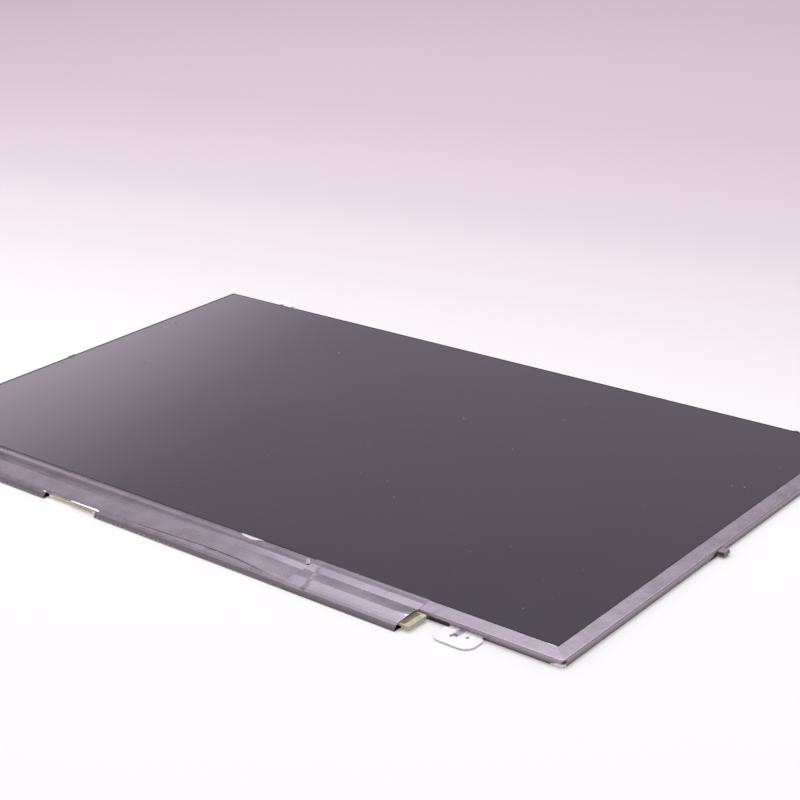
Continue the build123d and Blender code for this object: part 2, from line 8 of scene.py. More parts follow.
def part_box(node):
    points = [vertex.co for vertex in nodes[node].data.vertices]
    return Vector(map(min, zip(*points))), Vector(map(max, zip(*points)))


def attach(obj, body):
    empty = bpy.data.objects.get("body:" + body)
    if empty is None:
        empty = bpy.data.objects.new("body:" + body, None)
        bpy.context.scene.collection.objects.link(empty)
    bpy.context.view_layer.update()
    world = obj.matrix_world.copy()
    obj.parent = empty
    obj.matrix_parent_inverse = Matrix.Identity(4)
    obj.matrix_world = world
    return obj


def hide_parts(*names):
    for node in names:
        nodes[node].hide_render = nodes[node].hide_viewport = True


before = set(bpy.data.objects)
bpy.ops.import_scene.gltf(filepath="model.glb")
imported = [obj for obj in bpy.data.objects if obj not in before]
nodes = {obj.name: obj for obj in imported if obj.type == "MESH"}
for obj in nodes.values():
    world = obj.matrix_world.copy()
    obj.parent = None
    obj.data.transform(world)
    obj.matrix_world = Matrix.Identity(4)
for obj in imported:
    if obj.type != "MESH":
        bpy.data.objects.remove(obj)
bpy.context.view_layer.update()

# Room, table and camera: the panel lies face up on a white table in an even, pale room. What its glossy
# surfaces reflect is pale lilac, with a bright window low on the left and a bright shade high behind it.
scene = bpy.context.scene
scene.view_settings.view_transform = "Standard"

room = bpy.data.worlds.new("pale_room")
scene.world = room
room.use_nodes = True
room_nodes = room.node_tree.nodes
room_links = room.node_tree.links
room_light = room_nodes["Background"]
room_light.inputs["Color"].default_value = (1.0, 0.985, 1.0, 1.0)
room_light.inputs["Strength"].default_value = 0.82
reflected_walls = room_nodes.new("ShaderNodeBackground")
reflected_walls.inputs["Color"].default_value = (0.985, 0.845, 0.965, 1.0)
reflected_shade = room_nodes.new("ShaderNodeBackground")
reflected_shade.inputs["Color"].default_value = (0.94, 0.82, 1.03, 1.0)
gaze = room_nodes.new("ShaderNodeTexCoord")


def mapped(tree, value, span, results=(0.0, 1.0), interpolation="LINEAR"):
    """Socket with a value taken from a span to a range of results."""
    scale = tree.nodes.new("ShaderNodeMapRange")
    scale.interpolation_type = interpolation
    scale.inputs["From Min"].default_value = span[0]
    scale.inputs["From Max"].default_value = span[1]
    scale.inputs["To Min"].default_value = results[0]
    scale.inputs["To Max"].default_value = results[1]
    tree.links.new(value, scale.inputs["Value"])
    return scale.outputs["Result"]


def glow(direction, rim, core, low, high):
    """Soft round light in the reflected room: high inside its core, low beyond its rim."""
    towards = room_nodes.new("ShaderNodeVectorMath")
    towards.operation = "DOT_PRODUCT"
    towards.inputs[1].default_value = direction
    room_links.new(gaze.outputs["Generated"], towards.inputs[0])
    edges = (math.cos(math.radians(rim)), math.cos(math.radians(core)))
    return mapped(room.node_tree, towards.outputs["Value"], edges, (low, high), "SMOOTHSTEP")


window = glow((-0.883, 0.469, 0.0), rim=27.0, core=18.0, low=0.82, high=2.75)
room_links.new(window, reflected_walls.inputs["Strength"])
overhead = glow((0.0, 0.0, 1.0), rim=57.0, core=49.0, low=0.0, high=6.8)
behind = glow((-0.324, 0.694, 0.643), rim=30.0, core=10.0, low=0.0, high=1.0)
straight_up = glow((0.0, 0.0, 1.0), rim=48.0, core=28.0, low=0.0, high=4.0)
bright_shade = room_nodes.new("ShaderNodeMath")
bright_shade.operation = "MULTIPLY_ADD"
room_links.new(overhead, bright_shade.inputs[0])
room_links.new(behind, bright_shade.inputs[1])
room_links.new(straight_up, bright_shade.inputs[2])
room_links.new(bright_shade.outputs[0], reflected_shade.inputs["Strength"])
reflected_room = room_nodes.new("ShaderNodeAddShader")
room_links.new(reflected_walls.outputs[0], reflected_room.inputs[0])
room_links.new(reflected_shade.outputs[0], reflected_room.inputs[1])
backdrop = room_nodes.new("ShaderNodeBackground")
backdrop.inputs["Color"].default_value = (1.0, 1.0, 1.0, 1.0)
backdrop.inputs["Strength"].default_value = 1.0
ray = room_nodes.new("ShaderNodeLightPath")
is_reflected = room_nodes.new("ShaderNodeMath")
is_reflected.operation = "MAXIMUM"
room_links.new(ray.outputs["Is Glossy Ray"], is_reflected.inputs[0])
room_links.new(ray.outputs["Is Transmission Ray"], is_reflected.inputs[1])
lit_or_reflected = room_nodes.new("ShaderNodeMixShader")
room_links.new(is_reflected.outputs[0], lit_or_reflected.inputs["Fac"])
room_links.new(room_light.outputs[0], lit_or_reflected.inputs[1])
room_links.new(reflected_room.outputs[0], lit_or_reflected.inputs[2])
seen_room = room_nodes.new("ShaderNodeMixShader")
room_links.new(ray.outputs["Is Camera Ray"], seen_room.inputs["Fac"])
room_links.new(lit_or_reflected.outputs[0], seen_room.inputs[1])
room_links.new(backdrop.outputs[0], seen_room.inputs[2])
room_links.new(seen_room.outputs[0], room_nodes["World Output"].inputs["Surface"])

lamp = bpy.data.lights.new("hanging_lamp", "AREA")
lamp.shape = "RECTANGLE"
lamp.size = 0.7
lamp.size_y = 0.7
lamp.energy = 8.0
lamp_holder = bpy.data.objects.new("hanging_lamp", lamp)
lamp_holder.location = (-0.45, 0.6, 1.4)
lamp_holder.rotation_euler = (-lamp_holder.location).to_track_quat("-Z", "Y").to_euler()
scene.collection.objects.link(lamp_holder)

table_reach = 6.0
table_mesh = bpy.data.meshes.new("table")
table_mesh.from_pydata(
    [
        (-table_reach, -table_reach, 0.0),
        (table_reach, -table_reach, 0.0),
        (table_reach, table_reach, 0.0),
        (-table_reach, table_reach, 0.0),
    ],
    [],
    [(0, 1, 2, 3)],
)
table = bpy.data.objects.new("table", table_mesh)
scene.collection.objects.link(table)
table_paint = bpy.data.materials.new("white_table")
table_paint.use_nodes = True
table_shader = table_paint.node_tree.nodes["Principled BSDF"]
table_shader.inputs["Roughness"].default_value = 0.9
table_shader.inputs["Specular IOR Level"].default_value = 0.0
table_place = table_paint.node_tree.nodes.new("ShaderNodeTexCoord")
table_depth = table_paint.node_tree.nodes.new("ShaderNodeVectorMath")
table_depth.operation = "DOT_PRODUCT"
table_depth.inputs[1].default_value = (-0.2, 1.0, 0.0)
table_paint.node_tree.links.new(table_place.outputs["Object"], table_depth.inputs[0])
# The table's tone fades from white to lilac grey away from the camera: a painted falloff of the room's
# light.
table_tone = table_paint.node_tree.nodes.new("ShaderNodeValToRGB")
table_tones = [
    (0.02, (0.96, 0.95, 0.96)),
    (0.14, (0.876, 0.836, 0.876)),
    (0.20, (0.831, 0.771, 0.816)),
    (0.26, (0.793, 0.713, 0.771)),
    (0.35, (0.709, 0.622, 0.681)),
    (0.45, (0.664, 0.575, 0.638)),
    (0.57, (0.618, 0.523, 0.587)),
    (0.82, (0.594, 0.499, 0.563)),
    (1.00, (0.569, 0.477, 0.546)),
]
for place, _ in table_tones[2:]:
    table_tone.color_ramp.elements.new(place)
for stop, (place, tone) in zip(table_tone.color_ramp.elements, table_tones):
    stop.position = place
    stop.color = (*tone, 1.0)
table_paint.node_tree.links.new(table_depth.outputs["Value"], table_tone.inputs[0])
table_paint.node_tree.links.new(table_tone.outputs["Color"], table_shader.inputs["Base Color"])
table_mesh.materials.append(table_paint)

camera = bpy.data.cameras.new("camera")
camera.sensor_fit = "HORIZONTAL"
camera.sensor_width = 36.0
camera.lens = 79.39
camera.clip_start = 0.01
camera_holder = bpy.data.objects.new("camera", camera)
camera_holder.location = (0.4693, -0.5137, 0.3012)
camera_holder.rotation_euler = (math.radians(67.829), math.radians(2.448), math.radians(39.809))
scene.collection.objects.link(camera_holder)
scene.camera = camera_holder


# Backlight: a white moulded frame holds the light guide and its sheets and the lamp strip on its
# aluminium rail. A thin rolled aluminium plate closes the rear.
def mixed(tree, share, first, second):
    """Colour socket between two colours or colour sockets."""
    mix = tree.nodes.new("ShaderNodeMix")
    mix.data_type = "RGBA"
    tree.links.new(share, mix.inputs[0])
    for number, colour in ((6, first), (7, second)):
        if isinstance(colour, tuple):
            mix.inputs[number].default_value = (*colour, 1.0)
        else:
            tree.links.new(colour, mix.inputs[number])
    return mix.outputs[2]


def finish(name, tones, patch, roughness, grain, relief, metallic=0.0, stretch=(1.0, 1.0, 1.0)):
    """Two tones in patches, an uneven gloss and a fine relief; patch, grain and relief are in metres."""
    material = bpy.data.materials.new(name)
    material.use_nodes = True
    tree = material.node_tree
    shader = tree.nodes["Principled BSDF"]
    shader.inputs["Metallic"].default_value = metallic
    place = tree.nodes.new("ShaderNodeTexCoord")
    stretched = tree.nodes.new("ShaderNodeMapping")
    stretched.inputs["Scale"].default_value = stretch
    tree.links.new(place.outputs["Object"], stretched.inputs["Vector"])
    patches = tree.nodes.new("ShaderNodeTexNoise")
    patches.inputs["Scale"].default_value = 1.0 / patch
    patches.inputs["Detail"].default_value = 4.0
    tree.links.new(stretched.outputs["Vector"], patches.inputs["Vector"])
    spread = mapped(tree, patches.outputs["Fac"], (0.3, 0.7))
    tree.links.new(mixed(tree, spread, *tones), shader.inputs["Base Color"])
    tree.links.new(mapped(tree, spread, (0.0, 1.0), roughness), shader.inputs["Roughness"])
    grains = tree.nodes.new("ShaderNodeTexNoise")
    grains.inputs["Scale"].default_value = 1.0 / grain
    grains.inputs["Detail"].default_value = 3.0
    tree.links.new(stretched.outputs["Vector"], grains.inputs["Vector"])
    bump = tree.nodes.new("ShaderNodeBump")
    bump.inputs["Distance"].default_value = relief
    tree.links.new(grains.outputs["Fac"], bump.inputs["Height"])
    tree.links.new(bump.outputs["Normal"], shader.inputs["Normal"])
    return material


def coat(material, *names):
    """Puts a material on CAD pieces."""
    for name in names:
        piece = nodes[name]
        piece.data.materials.clear()
        piece.data.materials.append(material)


white_moulding = finish(
    "white_moulding",
    tones=((0.78, 0.78, 0.76), (0.84, 0.84, 0.82)),
    patch=0.02,
    roughness=(0.45, 0.6),
    grain=0.0006,
    relief=0.00001,
)
coat(white_moulding, "moulded_frame")

optical_film = finish(
    "optical_film",
    tones=((0.8, 0.82, 0.83), (0.86, 0.87, 0.88)),
    patch=0.03,
    roughness=(0.3, 0.4),
    grain=0.0003,
    relief=0.000004,
    stretch=(0.02, 1.0, 1.0),
)
coat(optical_film, "upper_diffuser", "upper_prism_film", "lower_prism_film", "lower_diffuser")
coat(optical_film, "light_guide", "reflector_sheet")

rolled_aluminium = finish(
    "rolled_aluminium",
    tones=((0.60, 0.60, 0.61), (0.70, 0.70, 0.71)),
    patch=0.012,
    roughness=(0.32, 0.45),
    grain=0.0006,
    relief=0.000008,
    metallic=1.0,
    stretch=(0.04, 1.0, 1.0),
)
coat(rolled_aluminium, "rear_plate", "light_rail")

strip_mask = finish(
    "strip_mask",
    tones=((0.75, 0.75, 0.70), (0.8, 0.8, 0.76)),
    patch=0.01,
    roughness=(0.4, 0.5),
    grain=0.0005,
    relief=0.000005,
)
coat(strip_mask, "light_strip")

lamp_yellow = finish(
    "lamp_yellow",
    tones=((0.85, 0.75, 0.30), (0.88, 0.82, 0.45)),
    patch=0.002,
    roughness=(0.3, 0.4),
    grain=0.0003,
    relief=0.000005,
)
coat(lamp_yellow, "lamps")

# Brackets and side tabs: thin stamped steel with a bright satin plating, staked to the moulded frame
# above the rear plate.
plated_steel = finish(
    "plated_steel",
    tones=((0.74, 0.70, 0.75), (0.84, 0.80, 0.85)),
    patch=0.006,
    roughness=(0.35, 0.45),
    grain=0.0006,
    relief=0.00001,
    metallic=0.04,
    stretch=(1.0, 0.2, 1.0),
)
coat(plated_steel, "bracket_top_left", "bracket_top_right", "bracket_bottom_left")

# Painted reflection: a darker lilac patch on the bottom right bracket, between its hole and the tape band,
# stands in for the dark band reflected in the plating.
steel_with_painted_reflection = plated_steel.copy()
steel_with_painted_reflection.name = "steel_with_painted_reflection"
reflection_patch_tree = steel_with_painted_reflection.node_tree
reflection_patch_shader = reflection_patch_tree.nodes["Principled BSDF"]
bright_plating = reflection_patch_shader.inputs["Base Color"].links[0].from_socket
bracket_low, bracket_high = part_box("bracket_bottom_right")
reflection_patch_x = (bracket_low.x + bracket_high.x) / 2 - 0.0015
reflection_patch_y = bracket_low.y + 0.0078
reflection_patch_width = 0.0021
reflection_patch_length = 0.0040
reflection_patch_place = reflection_patch_tree.nodes.new("ShaderNodeTexCoord")
reflection_patch_shape = reflection_patch_tree.nodes.new("ShaderNodeMapping")
reflection_patch_shape.inputs["Location"].default_value = (-reflection_patch_x / reflection_patch_width, -reflection_patch_y / reflection_patch_length, 0.0)
reflection_patch_shape.inputs["Scale"].default_value = (1.0 / reflection_patch_width, 1.0 / reflection_patch_length, 0.0)
reflection_patch_tree.links.new(reflection_patch_place.outputs["Object"], reflection_patch_shape.inputs["Vector"])
reflection_patch_distance = reflection_patch_tree.nodes.new("ShaderNodeVectorMath")
reflection_patch_distance.operation = "LENGTH"
reflection_patch_tree.links.new(reflection_patch_shape.outputs["Vector"], reflection_patch_distance.inputs[0])
reflection_patch_share = mapped(reflection_patch_tree, reflection_patch_distance.outputs["Value"], (1.0, 0.5))
painted_reflection_tone = mixed(reflection_patch_tree, reflection_patch_share, bright_plating, (0.26, 0.225, 0.30))
reflection_patch_tree.links.new(painted_reflection_tone, reflection_patch_shader.inputs["Base Color"])
coat(steel_with_painted_reflection, "bracket_bottom_right")

dull_steel = finish(
    "dull_steel",
    tones=((0.17, 0.14, 0.155), (0.24, 0.20, 0.22)),
    patch=0.004,
    roughness=(0.5, 0.65),
    grain=0.0006,
    relief=0.00001,
)
dull_steel.node_tree.nodes["Principled BSDF"].inputs["Specular IOR Level"].default_value = 0.25
coat(dull_steel, "side_tab_left", "side_tab_right")

# Screen cell: two sheets of glass between polarizing films, bonded to the frame by a black adhesive ring.
# The front film has a matte anti-glare coat. The panel is off, so only its faint lilac reflection shows.
screen_coat = finish(
    "anti_glare_film",
    tones=((0.006, 0.004, 0.017), (0.008, 0.006, 0.019)),
    patch=0.06,
    roughness=(0.1, 0.12),
    grain=0.0004,
    relief=0.000001,
)


def place_axes(tree):
    """X, Y and Z of a place on the piece, as sockets."""
    place = tree.nodes.new("ShaderNodeTexCoord")
    axes = tree.nodes.new("ShaderNodeSeparateXYZ")
    tree.links.new(place.outputs["Object"], axes.inputs[0])
    return axes.outputs


film_low, film_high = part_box("front_polarizer")
left_rim = 0.0018
top_rim = 0.0010
rim_fade = 0.7
screen_tree = screen_coat.node_tree
screen_axes = place_axes(screen_tree)
left_span = (film_low.x + left_rim * rim_fade, film_low.x + left_rim)
top_span = (film_high.y - top_rim * rim_fade, film_high.y - top_rim)
inside_rim = screen_tree.nodes.new("ShaderNodeMath")
inside_rim.operation = "MINIMUM"
screen_tree.links.new(mapped(screen_tree, screen_axes["X"], left_span), inside_rim.inputs[0])
screen_tree.links.new(mapped(screen_tree, screen_axes["Y"], top_span), inside_rim.inputs[1])
rim_gloss = mapped(screen_tree, inside_rim.outputs[0], (0.0, 1.0), (0.05, 0.5))
screen_shader = screen_tree.nodes["Principled BSDF"]
screen_tree.links.new(rim_gloss, screen_shader.inputs["Specular IOR Level"])
coat(screen_coat, "front_polarizer")

cell_glass = finish(
    "cell_glass",
    tones=((0.03, 0.028, 0.03), (0.045, 0.04, 0.044)),
    patch=0.03,
    roughness=(0.12, 0.2),
    grain=0.001,
    relief=0.000003,
)
coat(cell_glass, "colour_filter_glass", "array_glass")

rear_film = finish(
    "rear_film",
    tones=((0.05, 0.05, 0.055), (0.07, 0.07, 0.075)),
    patch=0.04,
    roughness=(0.2, 0.3),
    grain=0.002,
    relief=0.000003,
)
coat(rear_film, "rear_polarizer")

black_adhesive = finish(
    "black_adhesive",
    tones=((0.015, 0.015, 0.016), (0.03, 0.03, 0.032)),
    patch=0.01,
    roughness=(0.7, 0.85),
    grain=0.0005,
    relief=0.00001,
)
coat(black_adhesive, "cell_tape")


# Dust on the screen: pale flecks of lint and dust that lie loose on the matte film, scattered over the
# whole of it, most of them under half a millimetre across.
def add_inputs(tree, inputs):
    """Named inputs of a node tree, each a name, a socket type and a value."""
    sockets = {}
    for name, kind, value in inputs:
        socket = tree.interface.new_socket(name, in_out="INPUT", socket_type=kind)
        sockets[name] = (socket.identifier, value)
    return sockets


def grown(name, base, tree, sockets):
    """Plain mesh object that a node tree makes from a base mesh."""
    maker = bpy.data.objects.new(name, base)
    scene.collection.objects.link(maker)
    modifier = maker.modifiers.new(name, "NODES")
    modifier.node_group = tree
    for identifier, value in sockets.values():
        modifier[identifier] = value
    evaluated = maker.evaluated_get(bpy.context.evaluated_depsgraph_get())
    mesh = bpy.data.meshes.new_from_object(evaluated)
    maker.modifiers.remove(modifier)
    maker.data = mesh
    mesh.name = name
    return maker


dust_grey = finish(
    "dust_grey",
    tones=((0.15, 0.14, 0.155), (0.25, 0.235, 0.255)),
    patch=0.0008,
    roughness=(0.8, 0.95),
    grain=0.0002,
    relief=0.00001,
)
film_sheet = bpy.data.meshes.new("film_sheet")
film_sheet.from_pydata(
    [
        (film_low.x, film_low.y, film_high.z),
        (film_high.x, film_low.y, film_high.z),
        (film_high.x, film_high.y, film_high.z),
        (film_low.x, film_high.y, film_high.z),
    ],
    [],
    [(0, 1, 2, 3)],
)
dust_tree = bpy.data.node_groups.new("screen_dust", "GeometryNodeTree")
dust_tree.interface.new_socket("Geometry", in_out="INPUT", socket_type="NodeSocketGeometry")
dust_sockets = add_inputs(
    dust_tree,
    [
        ("Flecks per Square Metre", "NodeSocketFloat", 1700.0),
        ("Smallest Fleck", "NodeSocketFloat", 0.00012),
        ("Largest Fleck", "NodeSocketFloat", 0.0006),
        ("Seed", "NodeSocketInt", 7),
    ],
)
dust_tree.interface.new_socket("Geometry", in_out="OUTPUT", socket_type="NodeSocketGeometry")
dust_in = dust_tree.nodes.new("NodeGroupInput")
dust_out = dust_tree.nodes.new("NodeGroupOutput")
dust_places = dust_tree.nodes.new("GeometryNodeDistributePointsOnFaces")
dust_tree.links.new(dust_in.outputs["Geometry"], dust_places.inputs["Mesh"])
dust_tree.links.new(dust_in.outputs["Flecks per Square Metre"], dust_places.inputs["Density"])
dust_tree.links.new(dust_in.outputs["Seed"], dust_places.inputs["Seed"])
fleck = dust_tree.nodes.new("GeometryNodeMeshIcoSphere")
fleck.inputs["Radius"].default_value = 1.0
fleck.inputs["Subdivisions"].default_value = 1
fleck_rank = dust_tree.nodes.new("FunctionNodeRandomValue")
fleck_rank.data_type = "FLOAT"
dust_tree.links.new(dust_in.outputs["Seed"], fleck_rank.inputs["Seed"])
fleck_share = dust_tree.nodes.new("ShaderNodeMath")
fleck_share.operation = "POWER"
fleck_share.inputs[1].default_value = 5.0
dust_tree.links.new(fleck_rank.outputs["Value"], fleck_share.inputs[0])
fleck_size = dust_tree.nodes.new("ShaderNodeMapRange")
dust_tree.links.new(fleck_share.outputs[0], fleck_size.inputs["Value"])
dust_tree.links.new(dust_in.outputs["Smallest Fleck"], fleck_size.inputs["To Min"])
dust_tree.links.new(dust_in.outputs["Largest Fleck"], fleck_size.inputs["To Max"])
fleck_turn = dust_tree.nodes.new("FunctionNodeRandomValue")
fleck_turn.data_type = "FLOAT_VECTOR"
fleck_turn.inputs["Max"].default_value = (0.3, 0.3, math.tau)
dust_tree.links.new(dust_in.outputs["Seed"], fleck_turn.inputs["Seed"])
fleck_shape = dust_tree.nodes.new("GeometryNodeTransform")
fleck_shape.inputs["Scale"].default_value = (1.5, 0.8, 0.35)
dust_tree.links.new(fleck.outputs["Mesh"], fleck_shape.inputs["Geometry"])
flecks = dust_tree.nodes.new("GeometryNodeInstanceOnPoints")
dust_tree.links.new(dust_places.outputs["Points"], flecks.inputs["Points"])
dust_tree.links.new(fleck_shape.outputs["Geometry"], flecks.inputs["Instance"])
dust_tree.links.new(fleck_turn.outputs["Value"], flecks.inputs["Rotation"])
dust_tree.links.new(fleck_size.outputs["Result"], flecks.inputs["Scale"])
dust_real = dust_tree.nodes.new("GeometryNodeRealizeInstances")
dust_tree.links.new(flecks.outputs["Instances"], dust_real.inputs["Geometry"])
dust_paint = dust_tree.nodes.new("GeometryNodeSetMaterial")
dust_paint.inputs["Material"].default_value = dust_grey
dust_tree.links.new(dust_real.outputs["Geometry"], dust_paint.inputs["Geometry"])
dust_tree.links.new(dust_paint.outputs["Geometry"], dust_out.inputs["Geometry"])
dust = grown("screen_dust", film_sheet, dust_tree, dust_sockets)
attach(dust, "root")

# Driver board: a green board with small parts and the input connector under it, joined to the glass by
# amber driver films. Foam pads lie under its bare ends, and a strip of bare gold crosses each end; its
# dark brown tone is painted shade from the tape's end beside it.
board_green = finish(
    "board_green",
    tones=((0.30, 0.30, 0.21), (0.46, 0.45, 0.34)),
    patch=0.003,
    roughness=(0.25, 0.4),
    grain=0.0006,
    relief=0.00001,
)
coat(board_green, "driver_board")

spacer_foam = finish(
    "spacer_foam",
    tones=((0.46, 0.45, 0.36), (0.58, 0.56, 0.47)),
    patch=0.002,
    roughness=(0.8, 0.95),
    grain=0.0003,
    relief=0.00004,
)
coat(spacer_foam, "board_spacers")

driver_film = finish(
    "driver_film",
    tones=((0.16, 0.09, 0.03), (0.24, 0.14, 0.05)),
    patch=0.004,
    roughness=(0.2, 0.3),
    grain=0.0004,
    relief=0.000006,
    stretch=(1.0, 0.1, 1.0),
)
coat(driver_film, "source_films")

chip_die = finish(
    "chip_die",
    tones=((0.05, 0.05, 0.06), (0.09, 0.09, 0.10)),
    patch=0.004,
    roughness=(0.15, 0.25),
    grain=0.0005,
    relief=0.000003,
)
coat(chip_die, "source_chips", "gate_chips")

chip_black = finish(
    "chip_black",
    tones=((0.018, 0.018, 0.019), (0.03, 0.03, 0.032)),
    patch=0.002,
    roughness=(0.5, 0.65),
    grain=0.0003,
    relief=0.00001,
)
coat(chip_black, "timing_chip", "power_chips", "memory_chip", "resistors")

ferrite = finish(
    "ferrite",
    tones=((0.06, 0.06, 0.065), (0.10, 0.10, 0.105)),
    patch=0.001,
    roughness=(0.6, 0.75),
    grain=0.0002,
    relief=0.00002,
)
coat(ferrite, "inductors")

ceramic = finish(
    "ceramic",
    tones=((0.30, 0.21, 0.12), (0.38, 0.28, 0.17)),
    patch=0.001,
    roughness=(0.4, 0.55),
    grain=0.0002,
    relief=0.00001,
)
coat(ceramic, "capacitors")

ivory_moulding = finish(
    "ivory_moulding",
    tones=((0.76, 0.68, 0.56), (0.84, 0.77, 0.65)),
    patch=0.004,
    roughness=(0.45, 0.55),
    grain=0.0003,
    relief=0.00001,
)
coat(ivory_moulding, "input_housing", "backlight_socket")

plated_shell = finish(
    "plated_shell",
    tones=((0.84, 0.73, 0.64), (0.93, 0.84, 0.76)),
    patch=0.003,
    roughness=(0.18, 0.3),
    grain=0.0004,
    relief=0.000008,
    metallic=0.3,
)
coat(plated_shell, "input_shell")

contact_gold = finish(
    "contact_gold",
    tones=((0.80, 0.58, 0.20), (0.88, 0.68, 0.30)),
    patch=0.001,
    roughness=(0.2, 0.3),
    grain=0.0003,
    relief=0.000004,
    metallic=1.0,
)
coat(contact_gold, "input_contacts")


def plate(outline, bottom, thickness):
    """Thin plate of an outline, as a closed mesh with softened upper edges."""
    shape = bmesh.new()
    corners = [shape.verts.new((x, y, bottom)) for x, y in outline]
    foot = shape.faces.new(corners)
    top = bmesh.ops.extrude_face_region(shape, geom=[foot])
    raised = [item for item in top["geom"] if isinstance(item, bmesh.types.BMVert)]
    bmesh.ops.translate(shape, verts=raised, vec=(0.0, 0.0, thickness))
    edges = [edge for edge in shape.edges if all(vertex in raised for vertex in edge.verts)]
    bmesh.ops.bevel(shape, geom=edges, offset=thickness * 0.4, segments=2, affect="EDGES", profile=0.5)
    bmesh.ops.recalc_face_normals(shape, faces=shape.faces)
    return shape


def rounded_outline(left, right, low, high, radius, steps=5):
    """Rectangle with rounded corners, as points."""
    points = []
    corners = [(right, high), (left, high), (left, low), (right, low)]
    for index, (x, y) in enumerate(corners):
        x_middle = x - radius if x == right else x + radius
        y_middle = y - radius if y == high else y + radius
        for step in range(steps + 1):
            angle = math.pi / 2 * (index + step / steps)
            points.append((x_middle + radius * math.cos(angle), y_middle + radius * math.sin(angle)))
    return points


def piece_from(shapes, name, material, slot, *replaced):
    """Finished piece of one or more meshes, riding on the panel."""
    mesh = bpy.data.meshes.new(name)
    joined = bmesh.new()
    for shape in shapes:
        shape.to_mesh(mesh)
        shape.free()
        joined.from_mesh(mesh)
    joined.to_mesh(mesh)
    joined.free()
    mesh.polygons.foreach_set("use_smooth", [True] * len(mesh.polygons))
    mesh.set_sharp_from_angle(angle=math.radians(35.0))
    mesh.materials.append(material)
    piece = bpy.data.objects.new(name, mesh)
    scene.collection.objects.link(piece)
    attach(piece, "root")
    if replaced:
        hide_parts(*replaced)
    return piece


tinned_copper = finish(
    "tinned_copper",
    tones=((0.80, 0.80, 0.82), (0.93, 0.92, 0.94)),
    patch=0.002,
    roughness=(0.2, 0.35),
    grain=0.0005,
    relief=0.00002,
    metallic=1.0,
)
board_low, board_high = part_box("driver_board")
end_low, end_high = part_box("board_end_tape")
bare_length = board_high.x - end_high.x
strip_width = 0.0017
strip_inset = 0.0006
strip_radius = 0.0003
strip_thickness = 0.00004
gold_strips = []
for tape_edge, outward in ((end_high.x, 1), (board_low.x + bare_length, -1)):
    strip_x = tape_edge + outward * (strip_width / 2 + strip_inset / 2)
    outline = rounded_outline(
        strip_x - strip_width / 2,
        strip_x + strip_width / 2,
        board_low.y + strip_inset,
        board_high.y - strip_inset,
        strip_radius,
    )
    gold_strips.append(plate(outline, board_high.z, strip_thickness))
# Painted shade: the strips' dark brown tone stands for the shade under the tape's end.
gold_with_painted_shade = finish(
    "gold_with_painted_shade",
    tones=((0.15, 0.115, 0.05), (0.23, 0.18, 0.09)),
    patch=0.0015,
    roughness=(0.5, 0.65),
    grain=0.0003,
    relief=0.000006,
)
gold_with_painted_shade.node_tree.nodes["Principled BSDF"].inputs["Specular IOR Level"].default_value = 0.1
piece_from(gold_strips, "board_gold_strips", gold_with_painted_shade, "contact_gold")

lip_thickness = 0.00008
connector_low, connector_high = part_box("input_shell")
connector_x = (connector_low.x + connector_high.x) / 2
lip_inner = board_low.y + 0.0008
wide_lip = rounded_outline(
    connector_x - 0.0005, connector_high.x + 0.0010, board_low.y - 0.0007, lip_inner, 0.0006
)
end_ear = rounded_outline(
    connector_low.x - 0.0024, connector_low.x - 0.0010, board_low.y - 0.0007, board_low.y + 0.0006, 0.0004
)
lips = [plate(outline, board_high.z, lip_thickness) for outline in (wide_lip, end_ear)]
piece_from(lips, "connector_lip", tinned_copper, "connector_steel")


# Edge tapes: thin black polyester tape with a satin face, folded from the glass ledges round the frame
# to the rear and pressed on by hand. Two strips meet at the near corner, where the fold is worn round.
def tape_finish(name, tones, painted_side_tones, fold, patch, roughness, grain, relief, gloss_index):
    """Tape with an even upper face, and sides in tones of painted light and shade that darken downwards
    from their fold as painted shade.
    """
    material = finish(name, tones, patch, roughness, grain, relief)
    tree = material.node_tree
    shader = tree.nodes["Principled BSDF"]
    shader.inputs["IOR"].default_value = gloss_index
    upper_tone = shader.inputs["Base Color"].links[0].from_socket
    height = mapped(tree, place_axes(tree)["Z"], (0.0, fold))
    painted_side_tone = mixed(tree, height, *painted_side_tones)
    surface = tree.nodes.new("ShaderNodeNewGeometry")
    facing = tree.nodes.new("ShaderNodeSeparateXYZ")
    tree.links.new(surface.outputs["Normal"], facing.inputs[0])
    upward = mapped(tree, facing.outputs["Z"], (0.35, 0.93), interpolation="SMOOTHSTEP")
    tree.links.new(mixed(tree, upward, painted_side_tone, upper_tone), shader.inputs["Base Color"])
    return material


def wave(x, y, length, width, seed):
    """Smooth uneven wave between -1 and 1, of a given length along X and width along Y."""
    return noise.noise(Vector((x / length, y / width, seed)))


def hump(distance, reach):
    """Smooth hump that is 1 in the middle and 0 beyond its reach."""
    share = max(0.0, 1.0 - (distance / reach) ** 2)
    return share * share


def creased(name, step, shift, cuts=()):
    """Copy of a CAD tape, cut into short lengths, whose points are shifted into waves and folds."""
    shape = bmesh.new()
    shape.from_mesh(nodes[name].data)
    bmesh.ops.remove_doubles(shape, verts=shape.verts, dist=0.000001)
    bmesh.ops.dissolve_limit(shape, angle_limit=math.radians(0.5), verts=shape.verts, edges=shape.edges)
    low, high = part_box(name)
    planes = list(cuts)
    for axis, normal in ((0, Vector((1.0, 0.0, 0.0))), (1, Vector((0.0, 1.0, 0.0)))):
        span = high[axis] - low[axis]
        count = int(span / step[axis])
        for index in range(1, count):
            planes.append((normal * (low[axis] + span * index / count), normal))
    for place, normal in planes:
        geometry = shape.verts[:] + shape.edges[:] + shape.faces[:]
        bmesh.ops.bisect_plane(shape, geom=geometry, dist=0.0000001, plane_co=place, plane_no=normal)
    wide_faces = [face for face in shape.faces if len(face.verts) > 4]
    bmesh.ops.triangulate(shape, faces=wide_faces)
    for vertex in shape.verts:
        vertex.co += shift(*vertex.co)
    return shape
